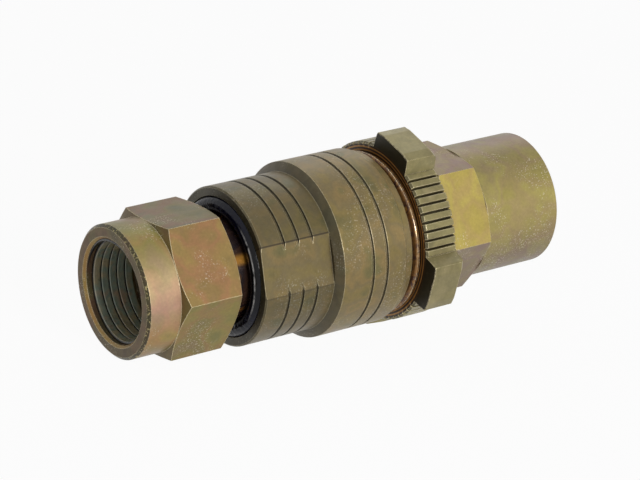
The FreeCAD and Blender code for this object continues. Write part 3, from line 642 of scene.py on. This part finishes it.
# Painted highlight: a broken white streak along the front crown.
lay_over(wet_rubber, painted_glint, tone(176, 174, 172))
ring_tree = cord_ring_tree()
wiper = grown("round_wiper_ring", ring_tree, "coupling_sleeve", "wiper_rubber", middle=0.02555,
              ring_radius=0.0126, cord_radius=0.0016, steps_round=160, finish=wet_rubber)
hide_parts("wiper_ring")


# Sleeve: the union nut that pulls the halves together, turned from one bar, with two wrench
# flats milled on its smaller end. Its chromate film is older and browner. Painted shade dims the
# round of the smaller end beside the flats, and painted shade lines run along the flats' edges,
# heaviest on the upper edges.
SMALL_END = 0.0411
FLAT_MIDDLE = math.radians(79.0)
REAR_FLAT_MIDDLE = math.radians(-101.0)
FLAT_HALF = math.radians(18.6)
# Faces that look left take the face tone as painted shade.
sleeve_film = chromate_film(
    "sleeve_chromate",
    (tone(106, 97, 58), tone(127, 110, 63), tone(119, 104, 68), tone(133, 112, 68),
     tone(111, 102, 61)),
    patch=0.006, wear_and_glint=0.6, rings=0.8, seed=1.4, pale=0.28, face=tone(66, 62, 46), left_shade_share=0.75)
sleeve_tree = sleeve_film.node_tree
along, _, turned = axis_place(sleeve_tree)
front_flat, rear_flat = [
    calc(sleeve_tree, "ABSOLUTE", calc(sleeve_tree, "SUBTRACT", turned, middle))
    for middle in (FLAT_MIDDLE, REAR_FLAT_MIDDLE)]
off_flat = calc(sleeve_tree, "MINIMUM", front_flat, rear_flat)
# Painted shade: the small end is dimmed, less on the flats.
flat_spared = calc(sleeve_tree, "MULTIPLY", 0.55, calc(
    sleeve_tree, "LESS_THAN", off_flat, FLAT_HALF))
on_small_end = calc(sleeve_tree, "SUBTRACT", 1.0, band(sleeve_tree, along, 0.0405, 0.0425))
small_end_shade = calc(sleeve_tree, "MULTIPLY", on_small_end, calc(
    sleeve_tree, "SUBTRACT", 1.05, flat_spared))
lay_over(sleeve_film, small_end_shade, tinted(sleeve_tree, 1.0, own_colour(sleeve_film),
                                    (0.62, 0.64, 0.64, 1.0), "MULTIPLY"))
# Painted shade: dark lines along the flats' edges, heavier on the upper edge.
flat_edge_shade = calc(sleeve_tree, "MULTIPLY", near(sleeve_tree, off_flat, FLAT_HALF, 0.006, 0.014),
                 calc(sleeve_tree, "LESS_THAN", along, SMALL_END))
edge_shade_weight = calc(sleeve_tree, "ADD", 0.35, calc(sleeve_tree, "MULTIPLY", 0.45, calc(
    sleeve_tree, "LESS_THAN", turned, FLAT_MIDDLE)))
lay_over(sleeve_film, calc(sleeve_tree, "MULTIPLY", flat_edge_shade, edge_shade_weight), tone(40, 30, 18))
finish_nodes(sleeve_film, "sleeve", "ball_plug")


# Male valve body: turned steel with the external coupling thread that the sleeve runs on, and
# the probe that enters the female half. The thread is dark brown with brass-coloured patches,
# painted shade darkens its roots, and its bright edges are partly worn, partly painted glints.
thread_film = chromate_film(
    "coupling_thread", (tone(84, 56, 44), tone(140, 98, 46), tone(70, 46, 44), tone(168, 120, 52)),
    patch=0.002, wear_and_glint=1.0, rings=2.5, dull=0.24, seed=2.1, corner_shade_share=0.9)
finish_nodes(thread_film, "male_valve_body")
grown("male_coupling_thread", ridge_tree, "male_half", "body_plating", start=0.0502, pitch=0.002,
      turns=9.0, root_radius=0.0158, height=0.0011, base_width=0.00202, crest_share=0.2,
      steps_along=1081, fade_turns=0.4, finish=thread_film)


# Lock ring: a steel nut on the male thread, with four lobes and ten pressed teeth between each
# two lobes. Painted shade makes its front face nearly black, and painted copper-coloured rings
# round the thread stand in for a reflection. Its bright edges are partly worn, partly painted
# glints.
def lobed_nut_tree():
    """A bored nut round the X axis: broad teeth with thin gaps, and lobes that lean in a little.
    Each direction round the axis has one closed section of nine points."""
    tree, given = opened_tree("lobed_nut", (
        ("Start", 0.0), ("Width", 0.007), ("Bore Radius", 0.0154), ("Crest Radius", 0.01865),
        ("Tip Radius", 0.02135), ("Lobe Half Width", 0.0053), ("Lobe Lean", 0.105),
        ("Lobes", 4), ("First Lobe Angle", 0.33), ("Teeth Between", 10), ("Lobe Share", 0.38),
        ("Tooth Depth", 0.00075), ("Gap Share", 0.32), ("Edge", 0.0004), ("Rear Edge", 0.0008),
        ("Steps Round", 1441)))
    section_points = 9
    tip_flare, least_slope = 1.012, 0.02
    lobe_corner, lobe_root, lobe_rise = 0.0006, 0.0002, 0.0012
    grid = put(tree, "GeometryNodeMeshGrid",
               {"Vertices X": given["Steps Round"], "Vertices Y": section_points})
    index = put(tree, "GeometryNodeInputIndex").outputs[0]
    step = calc(tree, "FLOOR", calc(tree, "DIVIDE", calc(tree, "ADD", index, 0.5),
                                    float(section_points)))
    place = calc(tree, "SUBTRACT", index, calc(tree, "MULTIPLY", step, float(section_points)))
    last = calc(tree, "SUBTRACT", given["Steps Round"], 1.0)
    angle = calc(tree, "MULTIPLY", calc(tree, "DIVIDE", step, last), 2.0 * math.pi)
    sector = calc(tree, "DIVIDE", 2.0 * math.pi, given["Lobes"])
    off = calc(tree, "DIVIDE", calc(tree, "SUBTRACT", angle, given["First Lobe Angle"]), sector)
    off = calc(tree, "SUBTRACT", off, calc(tree, "ROUND", off))
    off = calc(tree, "ABSOLUTE", calc(tree, "MULTIPLY", off, sector))
    tip = calc(tree, "DIVIDE", given["Tip Radius"], calc(tree, "COSINE", off))
    tip = calc(tree, "MINIMUM", tip, calc(tree, "MULTIPLY", given["Tip Radius"], tip_flare))
    side_top = calc(tree, "ADD", given["Lobe Half Width"],
                    calc(tree, "MULTIPLY", given["Tip Radius"], given["Lobe Lean"]))
    side_low = calc(tree, "ADD", calc(tree, "SINE", off),
                    calc(tree, "MULTIPLY", calc(tree, "COSINE", off), given["Lobe Lean"]))
    side = calc(tree, "DIVIDE", side_top, calc(tree, "MAXIMUM", side_low, least_slope))
    lobe = calc(tree, "SMOOTH_MIN", tip, side, lobe_corner)
    gap_start = calc(tree, "MULTIPLY", calc(tree, "MULTIPLY", sector, 0.5), given["Lobe Share"])
    free = calc(tree, "SUBTRACT", calc(tree, "MULTIPLY", sector, 0.5), gap_start)
    tooth = calc(tree, "DIVIDE", calc(tree, "MULTIPLY", free, 2.0), given["Teeth Between"])
    phase = calc(tree, "DIVIDE", calc(tree, "SUBTRACT", off, gap_start), tooth)
    phase = calc(tree, "ABSOLUTE", calc(tree, "SUBTRACT", phase, calc(tree, "ROUND", phase)))
    cut = put(tree, "ShaderNodeMapRange",
              {"Value": phase, "From Min": calc(tree, "MULTIPLY", given["Gap Share"], 0.5),
               "From Max": 0.0, "To Min": 0.0, "To Max": given["Tooth Depth"]}).outputs[0]
    teeth = calc(tree, "SUBTRACT", given["Crest Radius"], cut)
    outer = calc(tree, "SMOOTH_MAX", teeth, lobe, lobe_root)
    on_lobe = put(tree, "ShaderNodeMapRange",
                  {"Value": calc(tree, "SUBTRACT", outer, given["Crest Radius"]),
                   "From Min": 0.0, "From Max": lobe_rise}).outputs[0]
    rear = calc(tree, "ADD", given["Edge"], calc(tree, "MULTIPLY", on_lobe, calc(
        tree, "SUBTRACT", given["Rear Edge"], given["Edge"])))
    front_x = given["Start"]
    back_x = calc(tree, "ADD", given["Start"], given["Width"])
    front_edge = calc(tree, "MULTIPLY", given["Edge"], calc(
        tree, "SUBTRACT", 1.0, calc(tree, "MULTIPLY", on_lobe, 0.7)))
    mouth = calc(tree, "ADD", given["Bore Radius"], given["Edge"])
    inner_front = calc(tree, "ADD", front_x, given["Edge"])
    stations = (
        (front_x, mouth), (front_x, calc(tree, "SUBTRACT", outer, front_edge)),
        (calc(tree, "ADD", front_x, front_edge), outer),
        (calc(tree, "SUBTRACT", back_x, rear), outer),
        (back_x, calc(tree, "SUBTRACT", outer, rear)), (back_x, mouth),
        (calc(tree, "SUBTRACT", back_x, given["Edge"]), given["Bore Radius"]),
        (inner_front, given["Bore Radius"]), (front_x, mouth))
    chosen = []
    for part in range(2):
        pick = put(tree, "GeometryNodeIndexSwitch", data_type="FLOAT")
        while len(pick.index_switch_items) < section_points:
            pick.index_switch_items.new()
        tree.links.new(place, pick.inputs[0])
        for number, station in enumerate(stations):
            tree.links.new(station[part], pick.inputs[number + 1])
        chosen.append(pick.outputs[0])
    spot = turned_place(tree, chosen[0], chosen[1], calc(tree, "ADD", angle, math.pi / 2))
    shaped = put(tree, "GeometryNodeSetPosition",
                 {"Geometry": grid.outputs["Mesh"], "Position": spot})
    return closed_tree(tree, shaped.outputs[0], given)


# Painted shade: faces that look left, the front face most, go nearly black.
ring_film = chromate_film(
    "lock_ring_chromate",
    (tone(118, 110, 74), tone(142, 132, 88), tone(128, 118, 78), tone(148, 136, 96)),
    patch=0.007, wear_and_glint=0.95, dull=0.36, seed=3.3, face=tone(34, 31, 20), left_shade_share=0.95)
face_tree = ring_film.node_tree
along, out, _ = axis_place(face_tree)
RING_LINES = 9000.0
FRONT_FACE_END = 0.0624
REFLECTION_RADIUS = (0.0179, 0.0183)
# Painted reflection: copper-coloured rings on the front face round the thread.
turned_line = calc(face_tree, "SINE", calc(face_tree, "MULTIPLY", out, RING_LINES))
copper = tinted(face_tree, band(face_tree, turned_line, -0.2, 0.8), tone(58, 36, 22),
                tone(206, 150, 78))
copper_reflection_share = calc(face_tree, "MULTIPLY",
              calc(face_tree, "SUBTRACT", 1.0, band(face_tree, out, *REFLECTION_RADIUS)),
              calc(face_tree, "LESS_THAN", along, FRONT_FACE_END))
lay_over(ring_film, calc(face_tree, "MULTIPLY", copper_reflection_share, 0.7), copper)
lobed_ring = grown("lobed_lock_ring", lobed_nut_tree(), "lock_nut", "lock_ring_plating",
                   start=0.0619, width=0.0075, first_lobe_angle=math.radians(18.9),
                   finish=ring_film)
lobed_ring.data.set_sharp_from_angle(angle=math.radians(22.0))
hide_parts("lock_ring")


# Male port adapter: the same hexagon with a longer round end that stands a little proud of the
# flats, and the same internal pipe thread, open to the right. Its film is paler and blotchy,
# under painted light and shade by direction.
MALE_BARREL_RADIUS = 0.01375
MALE_ADAPTER_START = 0.0710
MALE_HEX_END = 0.08158
MALE_ADAPTER_END = 0.0999
MALE_PORT_DEPTH = 0.0859
MALE_STOP = 0.0790
MALE_RIM_BEVEL = 0.0003


def male_section(flat):
    barrel = MALE_BARREL_RADIUS
    front = max(0.0, flat - HEX_FACE_RADIUS) * HEX_BEVEL_LEAN
    rear = max(0.0, flat - barrel) * HEX_BEVEL_LEAN
    bore = [(MALE_PORT_DEPTH, PORT_RADIUS), (MALE_PORT_DEPTH, PASSAGE_RADIUS)]
    return [(MALE_ADAPTER_START, min(flat, HEX_FACE_RADIUS)), (MALE_ADAPTER_START + front, flat),
            (MALE_HEX_END - rear, flat), (MALE_HEX_END, barrel),
            (MALE_ADAPTER_END - MALE_RIM_BEVEL, barrel),
            (MALE_ADAPTER_END, barrel - MALE_RIM_BEVEL),
            (MALE_ADAPTER_END, PORT_RADIUS + PORT_MOUTH),
            (MALE_ADAPTER_END - PORT_MOUTH, PORT_RADIUS)] + bore + tail_recess(
                MALE_ADAPTER_START, 1, MALE_STOP)[::-1]


# Faces that look left take the face tone as painted shade.
male_film = chromate_film(
    "male_adapter_chromate",
    (tone(140, 122, 92), tone(150, 142, 66), tone(150, 120, 104), tone(172, 164, 84),
     tone(140, 116, 108)),
    patch=0.008, wear_and_glint=0.5, rings=0.5, pale=0.5, shade_tone_share=0.72, corner_shade_share=0.35, seed=5.1,
    face=tone(110, 96, 66), left_shade_share=0.4)
male_adapter = hexagon_end(
    "male_port_adapter", male_section, 6.6,
    [tone(120, 104, 70), "flat", tone(132, 118, 84), "round", tone(150, 140, 104),
     shaded_rim_tone, shaded_rim_tone, bore_tone, bore_tone, bore_tone] + [bore_tone] * 7,
    # The flat tones and the round tones are painted light and shade by direction.
    [tone(112, 84, 66), tone(180, 158, 78), tone(120, 100, 84), tone(140, 122, 80),
     tone(132, 114, 84), tone(132, 118, 80)],
    [tone(126, 106, 88), tone(136, 122, 74), tone(156, 142, 78), tone(162, 146, 88),
     tone(120, 104, 80), tone(106, 90, 72), tone(126, 112, 78), tone(140, 124, 80),
     tone(136, 122, 90), tone(150, 134, 80), tone(132, 116, 92), tone(126, 110, 80)],
    "male_half", "male_adapter")
male_adapter.data.materials.append(male_film)
grown("male_port_thread", ridge_tree, "male_half", "adapter_plating", start=0.0868,
      turns=6.8, steps_along=701, **PORT_THREAD)


# Valve springs: round steel wire wound to a helix, one behind each poppet. One end stands on the
# guide and the other pushes the poppet, so the coils spread as the poppet closes.
def coil_tree():
    """A round wire wound to a helix along the X axis."""
    tree, given = opened_tree("coil", (
        ("Start", 0.0), ("Length", 0.01), ("Turns", 4.5), ("Coil Radius", 0.005),
        ("Wire Radius", 0.0006)))
    helix = put(tree, "GeometryNodeCurveSpiral",
                {"Resolution": 40, "Rotations": given["Turns"],
                 "Start Radius": given["Coil Radius"], "End Radius": given["Coil Radius"],
                 "Height": given["Length"]})
    wire = put(tree, "GeometryNodeCurvePrimitiveCircle",
               {"Resolution": 14, "Radius": given["Wire Radius"]})
    tube = put(tree, "GeometryNodeCurveToMesh",
               {"Curve": helix.outputs[0], "Profile Curve": wire.outputs[0], "Fill Caps": True})
    start = put(tree, "ShaderNodeCombineXYZ", {0: given["Start"]})
    laid = put(tree, "GeometryNodeTransform",
               {"Geometry": tube.outputs[0], "Translation": start.outputs[0],
                "Rotation": (0.0, math.pi / 2, 0.0)})
    return closed_tree(tree, laid.outputs[0], given)


bright_steel = chromate_film(
    "turned_steel", (tone(150, 150, 150), tone(168, 166, 162), tone(140, 140, 142)),
    patch=0.006, wear_and_glint=0.3, rings=0.8, dull=0.30, seed=4.2, corner_shade_share=0.4, shine=0.9)
spring_tree = coil_tree()
SPRING_ENDS = (("female", 0.01685, 0.0259), ("male", 0.0544, 0.04535))
WIRE_RADIUS = 0.00065
for side, fixed_end, moving_end in SPRING_ENDS:
    low, high = min(fixed_end, moving_end), max(fixed_end, moving_end)
    coil = grown(side + "_wire_spring", spring_tree, None, "spring_steel",
                 start=low + WIRE_RADIUS, length=high - low - 2 * WIRE_RADIUS,
                 coil_radius=0.0051, wire_radius=WIRE_RADIUS, finish=bright_steel)
    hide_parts(side + "_spring")
    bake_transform(coil)


# Ball race: thirty hard steel balls in matching grooves of the sleeve and the female body. They
# are loaded through a hole in the sleeve's hidden side, which the plug closes.
def race_tree():
    """Balls set evenly on a ring round the X axis."""
    tree, given = opened_tree("ball_race", (
        ("Middle", 0.0), ("Race Radius", 0.0129), ("Ball Radius", 0.00125), ("Balls", 30)))
    ring = put(tree, "GeometryNodeMeshCircle",
               {"Vertices": given["Balls"], "Radius": given["Race Radius"]})
    ball = put(tree, "GeometryNodeMeshIcoSphere", {"Radius": given["Ball Radius"],
                                                   "Subdivisions": 3})
    set_round = put(tree, "GeometryNodeInstanceOnPoints",
                    {"Points": ring.outputs[0], "Instance": ball.outputs[0]})
    middle = put(tree, "ShaderNodeCombineXYZ", {0: given["Middle"]})
    upright = put(tree, "GeometryNodeTransform",
                  {"Geometry": set_round.outputs[0], "Translation": middle.outputs[0],
                   "Rotation": (0.0, math.pi / 2, 0.0)})
    return closed_tree(tree, upright.outputs[0], given)


balls = grown("race_balls", race_tree(), "female_half", "ball_steel", middle=0.03205,
              race_radius=0.01293, finish=bright_steel)
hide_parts("sleeve_balls")


# Seals: round rubber cords between the adapters and the valve bodies and round the probe, flat
# rubber rings on the poppets, and a pale plastic ring that backs up the probe's seal.
seal_rubber = rubber("seal_rubber", tone(26, 25, 25), 0.4)
SEAL_CORDS = (("female_adapter_seal", "female_half", 0.0178, 0.0117, 0.000675),
              ("male_adapter_seal", "male_half", 0.0738, 0.0117, 0.000675),
              ("probe_seal", "female_half", 0.04564, 0.01139, 0.000855))
for node, body, middle, ring_radius, cord_radius in SEAL_CORDS:
    cord = grown("round_" + node, ring_tree, body, "seal_rubber", middle=middle,
                 ring_radius=ring_radius, cord_radius=cord_radius, finish=seal_rubber)
    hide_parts(node)
backup_plastic = rubber("backup_plastic", tone(196, 188, 168), 0.2)
finish_nodes(seal_rubber, "female_poppet_seal", "male_poppet_seal")
finish_nodes(backup_plastic, "probe_backup_ring")


# The valve parts: turned steel poppets, guides and split rings. They are closed in, and show
# only through the ports and when the halves part.
finish_nodes(bright_steel, "female_poppet", "male_poppet", "female_valve_guide",
             "male_valve_guide", "female_guide_ring", "male_guide_ring")
